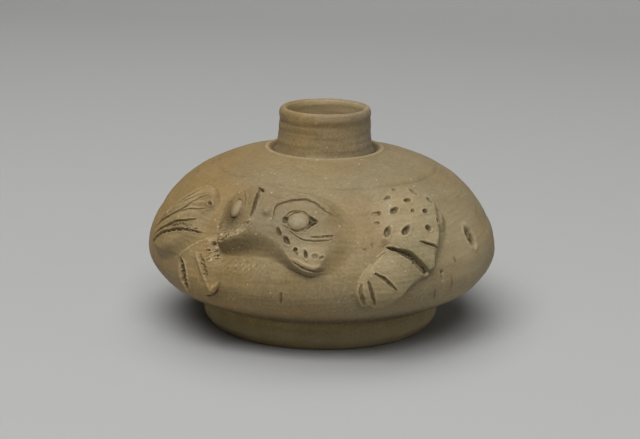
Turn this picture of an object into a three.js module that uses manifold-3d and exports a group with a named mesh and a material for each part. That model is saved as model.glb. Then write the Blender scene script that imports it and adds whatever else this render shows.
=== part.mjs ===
import * as THREE from 'three';
import { mergeVertices } from 'three/addons/utils/BufferGeometryUtils.js';
import Module from 'manifold-3d';

// A small squat stoneware jar with a frog in relief round its belly, in millimetres.
// +Z is up, the frog looks towards -Y, and the origin is the middle of the face that the foot stands on.
// Right and left are as seen from the front: right is +X.

// Belly: two half ellipses that meet at its widest line
const bellyRadius = 50;
const bellyLine = 22.2;
const shoulderRise = 29.9;
const bellyDrop = 19.4;
const wallThickness = 4;
const floorThickness = 4.5;

// Foot: a steep side over a slanting lower edge
const footHeight = 8.4;
const footSideRadius = 34;
const footSlantHeight = 2.6;
const footBaseRadius = 32.6;
const footBevel = 0.4;

// Neck
const neckRadius = 13.2;
const neckWall = 2.1;
const neckHeight = 12.35;
const neckSpread = 1.9;
const neckSpreadHeight = 2.6;
const lipHeight = 3.6;
const lipGrooveDepth = 0.2;
const lipGrooveWidth = 1.2;
const rimRounding = 0.9;

// Shoulder: the sunken seat round the neck, and the ring scratched further out
const troughWidth = 1.6;
const troughDepth = 0.7;
const ringRadius = 31.2;
const ringWidth = 1.1;
const ringDepth = 0.35;

// Relief: clay pads pressed on the belly over a film of slip
const slipGap = 0.3;
const padEdge = 0.45;
const padGap = 0.8;
const roomOver = 9;
const roomUnder = -2;
const gashWidth = 1.5;
const headRise = 3;
const snoutRise = 1.7;
const snoutWidth = 3.6;
const legRise = 1.9;
const footRise = 2.1;

// Marks pressed and cut in the pads
const pitLength = 2.3;
const pitWidth = 1.7;
const pitDepth = 1.1;
const slitWidth = 1.3;
const slitDepth = 1;
const lidWidth = 1;
const lidDepth = 0.6;
const ribGrooveWidth = 1.5;
const ribGrooveDepth = 0.8;
const cutOverlap = 1.3;

// Eyes: balls pressed flat into sockets in the head, on low mounds
const eyeRadius = 2.6;
const eyeBulge = 1.9;
const eyeSink = 0.7;
const socketClearance = 0.3;
const moundRise = 0.8;
const moundRadius = 4;

// Places of the pads' centres: round the belly line from the middle of the frog's front, or of its back
// for the hind legs, and up the wall from the belly line
const headAcross = 2.3;
const headUp = 18.2;
const rightLegAcross = 41;
const rightLegUp = 19;
const rightFootAcross = 31.5;
const rightFootUp = 3.2;
const leftLegAcross = 35.9;
const leftLegUp = 15.9;
const leftFootAcross = 23;
const leftFootUp = 3.2;
const hindLegAcross = 24;
const hindLegUp = 9;
const hindRightFootAcross = 32.7;
const hindRightFootUp = -6.8;
const hindLeftFootAcross = 35.3;
const hindLeftFootUp = -3.8;

// Scar on the right flank
const scarAcross = 64.7;
const scarUp = 9;
const scarLength = 8.6;
const scarWidth = 5;
const scarDepth = 0.8;
const scarSlant = 98;

const bodySides = 48;
const neckSides = 36;
const padSides = 32;
const pitSides = 6;
const pitRings = 4;
const eyeSides = 14;
const eyeRings = 10;
const weldDistance = 1e-4;

const wasm = await Module();
wasm.setup();

const clay = (color, roughness) => new THREE.MeshStandardMaterial({ color, roughness, metalness: 0 });
const glazedClay = clay(0x8a7c58, 0.5);
const neckClay = clay(0x7c6c48, 0.5);
const footClay = clay(0x806e50, 0.75);
const reliefClay = clay(0x8d7f5d, 0.48);
const eyeClay = clay(0x857650, 0.4);

// Merges shared corners and drops the slivers where a turned outline meets its axis
function bareGeometry(geometry) {
  geometry.deleteAttribute('normal');
  geometry.deleteAttribute('uv');
  const merged = mergeVertices(geometry, weldDistance);
  const corners = merged.index.array;
  const kept = [];
  for (let i = 0; i < corners.length; i += 3) {
    const [a, b, c] = corners.slice(i, i + 3);
    if (a !== b && b !== c && c !== a) kept.push(a, b, c);
  }
  merged.setIndex(kept);
  return merged;
}

function solidOf(geometry) {
  const bare = bareGeometry(geometry);
  const vertProperties = new Float32Array(bare.attributes.position.array);
  const triVerts = new Uint32Array(bare.index.array);
  return new wasm.Manifold(new wasm.Mesh({ numProp: 3, vertProperties, triVerts }));
}

function geometryOf(solid) {
  const mesh = solid.getMesh();
  const geometry = new THREE.BufferGeometry();
  geometry.setAttribute('position', new THREE.BufferAttribute(mesh.vertProperties, 3));
  geometry.setIndex(new THREE.BufferAttribute(mesh.triVerts, 1));
  geometry.computeVertexNormals();
  return geometry;
}

// Turns an outline of [radius, height] points round the jar's axis
function turned(outline, sides) {
  const points = outline.map(([radius, height]) => new THREE.Vector2(radius, height));
  const geometry = new THREE.LatheGeometry(points, sides);
  geometry.rotateX(Math.PI / 2);
  return solidOf(geometry);
}

// Closes a row of loops into a solid; the first and the last loop are single points
function skinned(loops) {
  const corners = [];
  let start = 0;
  for (let i = 0; i < loops.length - 1; i += 1) {
    const here = loops[i].length;
    const next = loops[i + 1].length;
    const sides = Math.max(here, next);
    for (let j = 0; j < sides; j += 1) {
      const k = (j + 1) % sides;
      const a = start + (here > 1 ? j : 0);
      const b = start + (here > 1 ? k : 0);
      const c = start + here + (next > 1 ? j : 0);
      const d = start + here + (next > 1 ? k : 0);
      if (next > 1) corners.push(a, c, d);
      if (here > 1) corners.push(a, d, b);
    }
    start += here;
  }
  const geometry = new THREE.BufferGeometry();
  const positions = loops.flat().flatMap((point) => point.toArray());
  geometry.setAttribute('position', new THREE.Float32BufferAttribute(positions, 3));
  geometry.setIndex(corners);
  return solidOf(geometry);
}

// The belly wall

const latitudeAt = (radius) => Math.acos(radius / bellyRadius);
const heightAt = (radius) => bellyLine + shoulderRise * Math.sin(latitudeAt(radius));
const baseRadius = bellyRadius * Math.cos(Math.asin((bellyLine - footHeight) / bellyDrop));
const mouthRadius = neckRadius - neckWall;
const neckBaseRadius = neckRadius + neckSpread;
const seatRadius = neckBaseRadius + troughWidth;
const seatHeight = heightAt(seatRadius) - troughDepth;
const rimHeight = seatHeight + neckHeight;

function ellipseArc(radius, rise, from, to, steps) {
  const points = [];
  for (let i = 0; i <= steps; i += 1) {
    const latitude = THREE.MathUtils.lerp(from, to, i / steps);
    points.push([radius * Math.cos(latitude), bellyLine + rise * Math.sin(latitude)]);
  }
  return points;
}

function bodyShell() {
  const innerRadius = bellyRadius - wallThickness;
  const innerRise = shoulderRise - wallThickness;
  const innerDrop = bellyDrop - wallThickness;
  const floorHeight = footHeight + floorThickness;
  const baseLatitude = -Math.asin((bellyLine - footHeight) / bellyDrop);
  const ringOuter = latitudeAt(ringRadius + ringWidth / 2);
  const ringInner = latitudeAt(ringRadius - ringWidth / 2);
  const floorLatitude = -Math.asin((bellyLine - floorHeight) / innerDrop);
  const boreLatitude = Math.acos(mouthRadius / innerRadius);
  return turned([
    [0, footHeight],
    ...ellipseArc(bellyRadius, bellyDrop, baseLatitude, 0, 5),
    ...ellipseArc(bellyRadius, shoulderRise, 0, ringOuter, 7).slice(1),
    [ringRadius, heightAt(ringRadius) - ringDepth],
    ...ellipseArc(bellyRadius, shoulderRise, ringInner, latitudeAt(seatRadius), 3),
    [seatRadius, seatHeight],
    [mouthRadius, seatHeight],
    ...ellipseArc(innerRadius, innerRise, boreLatitude, 0, 6),
    ...ellipseArc(innerRadius, innerDrop, 0, floorLatitude, 3).slice(1),
    [0, floorHeight],
  ], bodySides);
}

function neckCollar() {
  const grooveHeight = rimHeight - lipHeight;
  return turned([
    [mouthRadius, seatHeight],
    [neckBaseRadius, seatHeight],
    [neckRadius + neckSpread / 3, seatHeight + neckSpreadHeight / 2],
    [neckRadius, seatHeight + neckSpreadHeight],
    [neckRadius, grooveHeight - lipGrooveWidth / 2],
    [neckRadius - lipGrooveDepth, grooveHeight],
    [neckRadius, grooveHeight + lipGrooveWidth / 2],
    [neckRadius, rimHeight - rimRounding],
    [neckRadius - rimRounding / 3, rimHeight - rimRounding / 3],
    [neckRadius - rimRounding, rimHeight],
    [mouthRadius + rimRounding, rimHeight],
    [mouthRadius, rimHeight - rimRounding],
    [mouthRadius, seatHeight],
  ], neckSides);
}

function footDisc() {
  return turned([
    [0, 0],
    [footBaseRadius - footBevel, 0],
    [footBaseRadius, footBevel],
    [footSideRadius, footSlantHeight],
    [baseRadius, footHeight],
    [0, footHeight],
  ], bodySides);
}

// Relief on the wall

const upperWall = new THREE.EllipseCurve(0, bellyLine, bellyRadius, shoulderRise, 0, Math.PI / 2);
const lowerWall = new THREE.EllipseCurve(0, bellyLine, bellyRadius, bellyDrop, 0, -Math.PI / 2, true);

// The wall at a distance up from the belly line: its point in the half plane and its outward direction
function wallAt(up) {
  const arc = up >= 0 ? upperWall : lowerWall;
  const share = Math.abs(up) / arc.getLength();
  const point = arc.getPointAt(share);
  const along = arc.getTangentAt(share).multiplyScalar(up >= 0 ? 1 : -1);
  return { point, outward: new THREE.Vector2(along.y, -along.x) };
}

// A point on a pad's patch of wall: across and up from the pad's centre, and proud of the wall
function onWall(place, across, up, proud) {
  const { point, outward } = wallAt(place.up + up);
  const turn = place.turn + across / point.x;
  const radius = point.x + outward.x * proud;
  return new THREE.Vector3(radius * Math.sin(turn), -radius * Math.cos(turn), point.y + outward.y * proud);
}

// The limbs of one side repeat behind, pointing forwards; 1 is the right side and -1 the left
const frontPlace = (across, up) => ({ turn: across / bellyRadius, up });
const backPlace = (across, up, side) => ({ turn: side * (Math.PI - across / bellyRadius), up });

// How far a point lies from a pad's middle, as a share of the way to its outline
function edgeShare(pad, across, up) {
  const spoke = new THREE.Vector2(across - pad.middle[0], up - pad.middle[1]);
  const reach = spoke.length();
  if (reach === 0) return 0;
  spoke.divideScalar(reach);
  for (let i = 0; i < pad.rim.length; i += 1) {
    const from = pad.rim[i];
    const to = pad.rim[(i + 1) % pad.rim.length];
    const side = to.clone().sub(from);
    const away = from.clone().sub(new THREE.Vector2(...pad.middle));
    const turn = spoke.cross(side);
    const outlineReach = away.cross(side) / turn;
    const along = away.cross(spoke) / turn;
    if (outlineReach > 0 && along >= 0 && along <= 1) return reach / outlineReach;
  }
  return 1;
}

const frontProud = (pad, across, up, share) => slipGap + padEdge + pad.rise(across, up, share);

// A pad's rim is a smooth closed curve through a few points, anticlockwise as seen from outside
function makePad(place, shape) {
  const points = shape.outline.map(([across, up]) => new THREE.Vector3(across, up, 0));
  const curve = new THREE.CatmullRomCurve3(points, true, 'centripetal');
  const rim = curve.getSpacedPoints(padSides).slice(0, -1).map((point) => new THREE.Vector2(point.x, point.y));
  return { place, rim, middle: shape.middle, rise: shape.rise, marks: shape.marks };
}

function padLoop(pad, share, proudAt) {
  return pad.rim.map((point) => {
    const across = THREE.MathUtils.lerp(pad.middle[0], point.x, share);
    const up = THREE.MathUtils.lerp(pad.middle[1], point.y, share);
    return onWall(pad.place, across, up, proudAt(across, up));
  });
}

const frontShares = [0.25, 0.5, 0.72, 0.89, 1];
const backShares = [1, 0.7, 0.35];

function padSolid(pad) {
  const middle = (proud) => [onWall(pad.place, ...pad.middle, proud)];
  const front = (share) => padLoop(pad, share, (across, up) => frontProud(pad, across, up, share));
  const body = skinned([
    middle(frontProud(pad, ...pad.middle, 0)),
    ...frontShares.map(front),
    ...backShares.map((share) => padLoop(pad, share, () => slipGap)),
    middle(slipGap),
  ]);
  const cutters = pad.marks.flatMap((mark) => markCutters(pad, mark));
  return cutters.reduce((solid, cutter) => solid.subtract(cutter), body);
}

// The room that a pad needs among its neighbours: its outline let out by a gap, well past both faces
function padRoom(pad, gap) {
  const letOut = {
    ...pad,
    rim: pad.rim.map((point) => {
      const spoke = point.clone().sub(new THREE.Vector2(...pad.middle));
      return point.clone().add(spoke.setLength(gap));
    }),
  };
  return skinned([
    [onWall(pad.place, ...pad.middle, roomOver)],
    ...[0.5, 1].map((share) => padLoop(letOut, share, () => roomOver)),
    ...[1, 0.5].map((share) => padLoop(letOut, share, () => roomUnder)),
    [onWall(pad.place, ...pad.middle, roomUnder)],
  ]);
}

// An oval lump lying in the wall, its length turned by a slant, its depth reaching in and out
function lump(place, across, up, proud, size) {
  const { length, width, depth, slant = 0, sides = pitSides, rings = pitRings } = size;
  const { point, outward } = wallAt(place.up + up);
  const turn = place.turn + across / point.x;
  const east = new THREE.Vector3(Math.cos(turn), Math.sin(turn), 0);
  const out = new THREE.Vector3(outward.x * Math.sin(turn), -outward.x * Math.cos(turn), outward.y);
  const along = east.applyAxisAngle(out, slant);
  const sideways = along.clone().cross(out);
  const basis = new THREE.Matrix4().makeBasis(
    sideways.multiplyScalar(width / 2),
    along.multiplyScalar(length / 2),
    out.multiplyScalar(depth),
  );
  basis.setPosition(onWall(place, across, up, proud));
  return solidOf(new THREE.SphereGeometry(1, sides, rings).applyMatrix4(basis));
}

// A mark is a path pressed into a pad's face: one point is a pit, and each stretch between two is a cut
function markCutters(pad, { path, width, depth, length, slant = 0 }) {
  const proudAt = (across, up) => frontProud(pad, across, up, edgeShare(pad, across, up));
  if (path.length === 1) {
    const [across, up] = path[0];
    return [lump(pad.place, across, up, proudAt(across, up), { length, width, depth, slant })];
  }
  const overlap = path.length > 2 ? cutOverlap : 1;
  return path.slice(1).map(([toAcross, toUp], i) => {
    const [fromAcross, fromUp] = path[i];
    const across = (fromAcross + toAcross) / 2;
    const up = (fromUp + toUp) / 2;
    const size = {
      length: Math.hypot(toAcross - fromAcross, toUp - fromUp) * overlap,
      width,
      depth,
      slant: Math.atan2(toUp - fromUp, toAcross - fromAcross),
    };
    return lump(pad.place, across, up, proudAt(across, up), size);
  });
}

const pit = (across, up, degrees = 0) => ({
  path: [[across, up]],
  length: pitLength,
  width: pitWidth,
  depth: pitDepth,
  slant: THREE.MathUtils.degToRad(degrees),
});
const slit = (...path) => ({ path, width: slitWidth, depth: slitDepth });
const lidLine = (...path) => ({ path, width: lidWidth, depth: lidDepth });
const ribGroove = (...path) => ({ path, width: ribGrooveWidth, depth: ribGrooveDepth });

const swell = (share) => 1 - share ** 3;

// The head: a broad cushion with the snout's ridge running down from the brow, left of the right eye
const snoutTop = new THREE.Vector3(-9, 9.5, 0);
const snoutTip = new THREE.Vector3(-2.5, -6, 0);
const rightEye = [2.9, -1.5];
const leftEye = [-14.1, 2.6];

function headRiseAt(across, up, share) {
  const here = new THREE.Vector3(across, up, 0);
  const nearest = new THREE.Line3(snoutTop, snoutTip).closestPointToPoint(here, true, new THREE.Vector3());
  const ridge = snoutRise * Math.exp(-((here.distanceTo(nearest) / snoutWidth) ** 2));
  const mounds = [rightEye, leftEye].map((eye) => Math.hypot(across - eye[0], up - eye[1]) / moundRadius);
  const mound = moundRise * Math.exp(-(Math.min(...mounds) ** 2));
  return (headRise + ridge + mound) * swell(share);
}

const headShape = {
  outline: [
    [17, -2], [14.5, 2.4], [10, 6.2], [4, 9.4], [-3, 11.2], [-10, 11.2], [-15.5, 9.2], [-18.5, 4], [-18.4, -3],
    [-16, -8.4], [-12.2, -5.2], [-8.8, -2.4], [-5.8, -4], [-2.8, -8], [3, -11.6], [9, -12.9], [14, -11],
    [16.6, -6.5],
  ],
  middle: [-3, 1.5],
  rise: headRiseAt,
  marks: [
    pit(-1.5, -3.8, 75), pit(1, -5.9, 65), pit(3.7, -8.7, 85), pit(6.4, -9.3, 90), pit(9.4, -9.6, 90),
    slit([-1.4, -1.4], [0.6, -1.5]), slit([5, -1.7], [8.4, -1.8]),
    lidLine([-3.6, 0], [-3, 3.8], [0, 6.4], [4, 6.6], [8, 4], [13.6, 1]),
    lidLine([0.8, -2.8], [4.5, -5], [8.5, -5.3], [12.4, -3.8]),
    slit([-10.6, 9], [-9.9, -0.2]),
  ],
};

// The right foreleg: the dotted thigh over a short cut, and the smooth shank under it
const dottedLegShape = {
  outline: [
    [13.2, -3.5], [13.6, 0.5], [12, 5], [8, 9], [3, 11], [-2, 10.4], [-7, 7], [-11, 2], [-13, -4],
    [-11.5, -7.4], [-7.5, -7.6], [-3.6, -9.2], [-0.4, -12], [2.4, -14.8], [4.8, -13.4], [9, -8.6],
  ],
  middle: [1, -0.5],
  rise: (across, up, share) => legRise * swell(share),
  marks: [
    pit(0.6, 7.8, 20), pit(5.9, 6.5, -35), pit(9.7, 3, -50), pit(-2.9, 5.9), pit(2.2, 4.2), pit(-8.7, 1.7),
    pit(-3.6, 1.1), pit(2.2, 0), pit(6.7, -0.6), pit(-9.7, -1.9), pit(-7.9, -4.4, 75), pit(-2.7, -5.2, 50),
    pit(5, -5.2), pit(8.5, -3.8, 60),
    slit([0.2, -8.4], [3.3, -9.4], [6.3, -11.2]),
  ],
};

// The left foreleg: ribs fan out from the knee at its lower left corner
const ribbedLegShape = {
  outline: [
    [9.4, -1], [8, 4.4], [4.4, 8], [0.2, 9], [-4.5, 7], [-8.5, 2.6], [-11.8, -3.5], [-13.6, -9], [-13, -12.6],
    [-8, -14.2], [-1.6, -14.6], [3.6, -13.6], [5, -10], [6.5, -6.5], [9.4, -4.4],
  ],
  middle: [-2.5, -3],
  rise: (across, up, share) => legRise * swell(share),
  marks: [
    ribGroove([-9.2, -5], [-6, 0.2], [-1.2, 5.8], [3.6, 7]),
    ribGroove([-11, -8], [-7.3, -4.4], [-3, 0], [2.2, 3.8], [6.6, 5]),
    ribGroove([-9.5, -9.5], [-4.4, -5.8], [0.6, -3], [6, -0.8]),
    ribGroove([-12, -12], [-6.8, -9.3], [-0.6, -6.6], [6.4, -4.6]),
  ],
};

const rightFootShape = {
  outline: [
    [10.8, -0.4], [10, 2.6], [7.6, 5.4], [4, 7.2], [0.4, 7.2], [-2.2, 5.8], [-5, 4], [-8, 1], [-9.1, -2],
    [-8.6, -5], [-7, -7.2], [-5.3, -6.4], [-3.4, -7.9], [0.6, -8.1], [3.4, -6], [4.7, -3.4], [7.6, -1.8],
  ],
  middle: [0, -0.5],
  rise: (across, up, share) => footRise * swell(share),
  marks: [
    slit([-4.6, 1.1], [1.5, -3.7]),
    slit([-8.2, -1.5], [-6.4, -6.6]),
    slit([-5.6, -1.7], [-3.8, -7]),
    slit([4.1, -3.4], [3, -6.2]),
  ],
};

const leftFootShape = {
  outline: [
    [8.6, -1], [8.4, 3], [5.2, 6], [1, 7.6], [-2, 5.4], [-5.4, 2.8], [-7.6, -0.4], [-7.2, -4.4], [-5, -7.4],
    [-2.4, -8], [1.4, -7], [4.4, -6.4], [6.6, -6], [8.1, -3.8],
  ],
  middle: [0, 0],
  rise: (across, up, share) => footRise * swell(share),
  marks: [
    slit([-5.3, 0.4], [-3.3, -6.8]),
    slit([0.5, 3.4], [4, -1.6]),
    slit([6.9, -2.6], [6, -5.6]),
  ],
};

const head = makePad(frontPlace(headAcross, headUp), headShape);
const rightLeg = makePad(frontPlace(rightLegAcross, rightLegUp), dottedLegShape);
const rightFoot = makePad(frontPlace(rightFootAcross, rightFootUp), rightFootShape);
const leftLeg = makePad(frontPlace(-leftLegAcross, leftLegUp), ribbedLegShape);
const leftFoot = makePad(frontPlace(-leftFootAcross, leftFootUp), leftFootShape);
const hindRightLeg = makePad(backPlace(hindLegAcross, hindLegUp, 1), dottedLegShape);
const hindRightFoot = makePad(backPlace(hindRightFootAcross, hindRightFootUp, 1), rightFootShape);
const hindLeftLeg = makePad(backPlace(hindLegAcross, hindLegUp, -1), ribbedLegShape);
const hindLeftFoot = makePad(backPlace(hindLeftFootAcross, hindLeftFootUp, -1), leftFootShape);

// An eye, or with a clearance the socket that it sits in
function eyeBall([across, up], clearance) {
  const proud = frontProud(head, across, up, edgeShare(head, across, up)) - eyeSink;
  const width = 2 * (eyeRadius + clearance);
  return lump(head.place, across, up, proud, {
    length: width, width, depth: eyeBulge + clearance, sides: eyeSides, rings: eyeRings,
  });
}

// The head gives way to the legs and feet beside it, and holds a socket for each eye
function frogHead() {
  const sockets = [rightEye, leftEye].map((eye) => eyeBall(eye, socketClearance));
  const rooms = [rightLeg, leftLeg, rightFoot, leftFoot].map((pad) => padRoom(pad, padGap));
  return [...sockets, ...rooms].reduce((solid, cutter) => solid.subtract(cutter), padSolid(head));
}

const footUnder = (foot, leg) => padSolid(foot).subtract(padRoom(leg, gashWidth));

const scarCutter = lump(frontPlace(scarAcross, scarUp), 0, 0, 0, {
  length: scarLength, width: scarWidth, depth: scarDepth, slant: THREE.MathUtils.degToRad(scarSlant),
});

const jar = new THREE.Group();

function addPiece(name, geometry, material) {
  const mesh = new THREE.Mesh(geometry, material);
  mesh.name = name;
  jar.add(mesh);
}

addPiece('jar_body', geometryOf(bodyShell().subtract(scarCutter)), glazedClay);
addPiece('neck_collar', geometryOf(neckCollar()), neckClay);
addPiece('foot_disc', geometryOf(footDisc()), footClay);
addPiece('frog_head', geometryOf(frogHead()), reliefClay);
addPiece('eye_right', geometryOf(eyeBall(rightEye, 0)), eyeClay);
addPiece('eye_left', geometryOf(eyeBall(leftEye, 0)), eyeClay);
addPiece('fore_leg_right', geometryOf(padSolid(rightLeg)), reliefClay);
addPiece('fore_leg_left', geometryOf(padSolid(leftLeg)), reliefClay);
addPiece('fore_foot_right', geometryOf(footUnder(rightFoot, rightLeg)), reliefClay);
addPiece('fore_foot_left', geometryOf(footUnder(leftFoot, leftLeg)), reliefClay);
addPiece('hind_leg_right', geometryOf(padSolid(hindRightLeg)), reliefClay);
addPiece('hind_leg_left', geometryOf(padSolid(hindLeftLeg)), reliefClay);
addPiece('hind_foot_right', geometryOf(footUnder(hindRightFoot, hindRightLeg)), reliefClay);
addPiece('hind_foot_left', geometryOf(footUnder(hindLeftFoot, hindLeftLeg)), reliefClay);

export default jar;
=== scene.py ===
import math

import bmesh
import bpy
import numpy as np
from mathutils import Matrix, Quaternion, Vector


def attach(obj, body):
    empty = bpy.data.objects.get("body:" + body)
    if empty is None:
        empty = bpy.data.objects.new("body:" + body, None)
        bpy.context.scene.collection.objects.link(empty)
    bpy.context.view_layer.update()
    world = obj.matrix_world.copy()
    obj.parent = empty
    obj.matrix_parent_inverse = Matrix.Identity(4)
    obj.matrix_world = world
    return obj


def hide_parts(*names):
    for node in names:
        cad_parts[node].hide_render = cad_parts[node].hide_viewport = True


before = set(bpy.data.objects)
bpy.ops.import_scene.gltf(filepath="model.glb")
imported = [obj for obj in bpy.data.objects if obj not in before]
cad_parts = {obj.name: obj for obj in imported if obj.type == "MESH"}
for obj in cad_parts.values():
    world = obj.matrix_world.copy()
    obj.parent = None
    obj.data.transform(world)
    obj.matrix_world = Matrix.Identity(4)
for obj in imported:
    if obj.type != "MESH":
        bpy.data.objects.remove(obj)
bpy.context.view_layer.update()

# Sizes of the jar are in millimetres. Meshes are written in metres.
MM = 0.001

# The belly: two half ellipses that meet at its widest line
BELLY_RADIUS = 50.0
BELLY_LINE = 22.2
SHOULDER_RISE = 29.9
BELLY_DROP = 19.4
WALL = 4.0
FLOOR_HEIGHT = 12.9
BASE_HEIGHT = 8.4
FOOT_RADIUS = 34
BORE_RADIUS = 11.1
SHOULDER_RADIUS = 18.0

# The raised curb and the trough that run round the foot of the neck
CURB_CREST = 16.6
TROUGH_RADIUS = 14.6
CURB_FROM = 48.0

# The lip's height, the groove under it and the neck's seat
LIP_TOP = 62.0
LIP_GROOVE = 58.4
NECK_SEAT = 49.3

# Where the thrown wall swells out of the ellipses or falls short: latitude and spread in degrees, and height
WALL_SWELLS = [(-28, 14, 0.5), (20, 9, -0.35), (42, 9, 0.25), (64, 6, -0.6)]

# The jar leans to the camera's right above this height
LEAN = 0.012
LEAN_FROM = 10.0

# The place of each relief pad: round the belly line from the frog's front, or from its back, and up the wall
HEAD = (2.3, 18.2)
RIGHT_LEG = (41.0, 19.0)
RIGHT_FOOT = (31.5, 3.2)
LEFT_LEG = (-35.9, 15.9)
LEFT_FOOT = (-23.0, 3.2)
HIND_LEG = (24.0, 9.0)
HIND_RIGHT_FOOT = (32.7, -6.8)
HIND_LEFT_FOOT = (35.3, -3.8)

# The scar on the right flank: round the belly line from the front, and up the wall
SCAR = (64.7, 9.0)

# The ring scratched round the shoulder lies lower on the right
RING_UP = 31.5
RING_SLANT = 1.1

# How far a pad's mesh runs on past its outline, and how far its skirt and its back lie under the wall
PAD_SKIRT = 1.2
SKIRT_DEPTH = 0.4
PAD_BACK = 0.8

# Camera: distance from the jar's axis, height, turn to the frog's left side, lens and roll, fitted to the photograph
CAMERA_DISTANCE = 0.4845
CAMERA_HEIGHT = 0.1568
CAMERA_TURN = 15.0
CAMERA_LENS = 97.25
CAMERA_ROLL = 0.016
AIM_HEIGHT = 0.0286
AIM_LEFT = 0.00044

# The lamps point at the middle of the jar
LAMP_AIM = Vector((0, 0, 0.03))


# The wall as a curve, walked from the belly line

WALL_STEPS = 4000


def wall_table():
    """Down to up along the wall: distance walked from the belly line, radius, height and outward direction."""
    latitude = np.linspace(-math.pi / 2, math.pi / 2, WALL_STEPS + 1)
    rise = np.where(latitude >= 0, SHOULDER_RISE, BELLY_DROP)
    radius = BELLY_RADIUS * np.cos(latitude)
    height = BELLY_LINE + rise * np.sin(latitude)
    out, over = np.cos(latitude) / BELLY_RADIUS, np.sin(latitude) / rise
    swell = sum(rise * bell(np.degrees(latitude) - middle, spread) for middle, spread, rise in WALL_SWELLS)
    radius = radius + swell * out / np.hypot(out, over)
    height = height + swell * over / np.hypot(out, over)
    walked = np.concatenate([[0.0], np.cumsum(np.hypot(np.diff(radius), np.diff(height)))])
    ahead, rising = np.gradient(radius), np.gradient(height)
    length = np.hypot(ahead, rising)
    return walked - np.interp(0.0, latitude, walked), radius, height, rising / length, -ahead / length


def bell(distance, width):
    return np.exp(-((distance / width) ** 2))


WALL_CURVE = wall_table()


def wall_at(up):
    """Radius and height of the wall, and its outward direction, at a distance up from the belly line."""
    return [np.interp(up, WALL_CURVE[0], column) for column in WALL_CURVE[1:]]


def up_of_height(height):
    return np.interp(height, WALL_CURVE[2], WALL_CURVE[0])


def leaned(points):
    """Points in millimetres, with the jar's lean, in metres."""
    lean = LEAN * np.maximum(points[:, 2] - LEAN_FROM, 0)
    turn = math.radians(CAMERA_TURN)
    return (points + np.stack([lean * math.cos(turn), lean * math.sin(turn), 0 * lean], axis=1)) * MM


def on_wall(turn, up, proud):
    """Points at angles round the jar, distances up its wall and heights proud of it."""
    radius, height, out, over = wall_at(up)
    reach = radius + out * proud
    return leaned(np.stack([reach * np.sin(turn), -reach * np.cos(turn), height + over * proud], axis=1))


def front_turn(across):
    return across / BELLY_RADIUS


def back_turn(across, side):
    return side * (math.pi - across / BELLY_RADIUS)


# Curves and marks, worked out on many points at once


def smooth_path(points, closed=False, steps=8):
    """A smooth curve through points of any number of columns."""
    points = np.array(points, dtype=float)
    if len(points) == 2:
        return points
    if closed:
        padded = np.concatenate([points[-1:], points, points[:2]])
    else:
        padded = np.concatenate([2 * points[:1] - points[1:2], points, 2 * points[-1:] - points[-2:-1]])
    spans = []
    for a, b, c, d in zip(padded, padded[1:], padded[2:], padded[3:]):
        t = np.linspace(0, 1, steps, endpoint=False)[:, None]
        curve = 2 * b + (c - a) * t + (2 * a - 5 * b + 4 * c - d) * t**2 + (3 * b - a - 3 * c + d) * t**3
        spans.append(0.5 * curve)
    if not closed:
        spans.append(points[-1:])
    return np.concatenate(spans)


def nearest(path, across, up, closed=False):
    """Each point's distance from a path, positive to its left, and how far along it the nearest place lies."""
    starts = path if closed else path[:-1]
    ends = np.roll(path, -1, axis=0) if closed else path[1:]
    spans = ends - starts
    lengths = np.hypot(spans[:, 0], spans[:, 1]) + 1e-9
    walked = np.concatenate([[0.0], np.cumsum(lengths)])
    distance, along = np.empty(len(across)), np.empty(len(across))
    for first in range(0, len(across), 8192):
        chunk = slice(first, first + 8192)
        du = across[chunk, None] - starts[None, :, 0]
        dv = up[chunk, None] - starts[None, :, 1]
        t = np.clip((du * spans[:, 0] + dv * spans[:, 1]) / lengths**2, 0, 1)
        away_u, away_v = du - t * spans[:, 0], dv - t * spans[:, 1]
        away = np.hypot(away_u, away_v)
        best = np.argmin(away, axis=1)
        rows = np.arange(len(best))
        left = spans[best, 0] * away_v[rows, best] - spans[best, 1] * away_u[rows, best]
        distance[chunk] = away[rows, best] * np.where(left < 0, -1, 1)
        along[chunk] = (walked[best] + t[rows, best] * lengths[best]) / walked[-1]
    return distance, along


def ripple(first, second, pitch, seed):
    """Uneven waves about one pitch long, between about -1 and 1: the wobble of hand-worked clay."""
    draw = np.random.default_rng(seed)
    total = np.zeros_like(first)
    for _ in range(9):
        angle, phase = draw.uniform(0, 2 * math.pi, 2)
        number = 2 * math.pi / (pitch * draw.uniform(0.6, 1.6))
        total += np.cos(number * (first * math.cos(angle) + second * math.sin(angle)) + phase)
    return total / 3.2


def ease(share):
    share = np.clip(share, 0, 1)
    return share * share * (3 - 2 * share)


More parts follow.
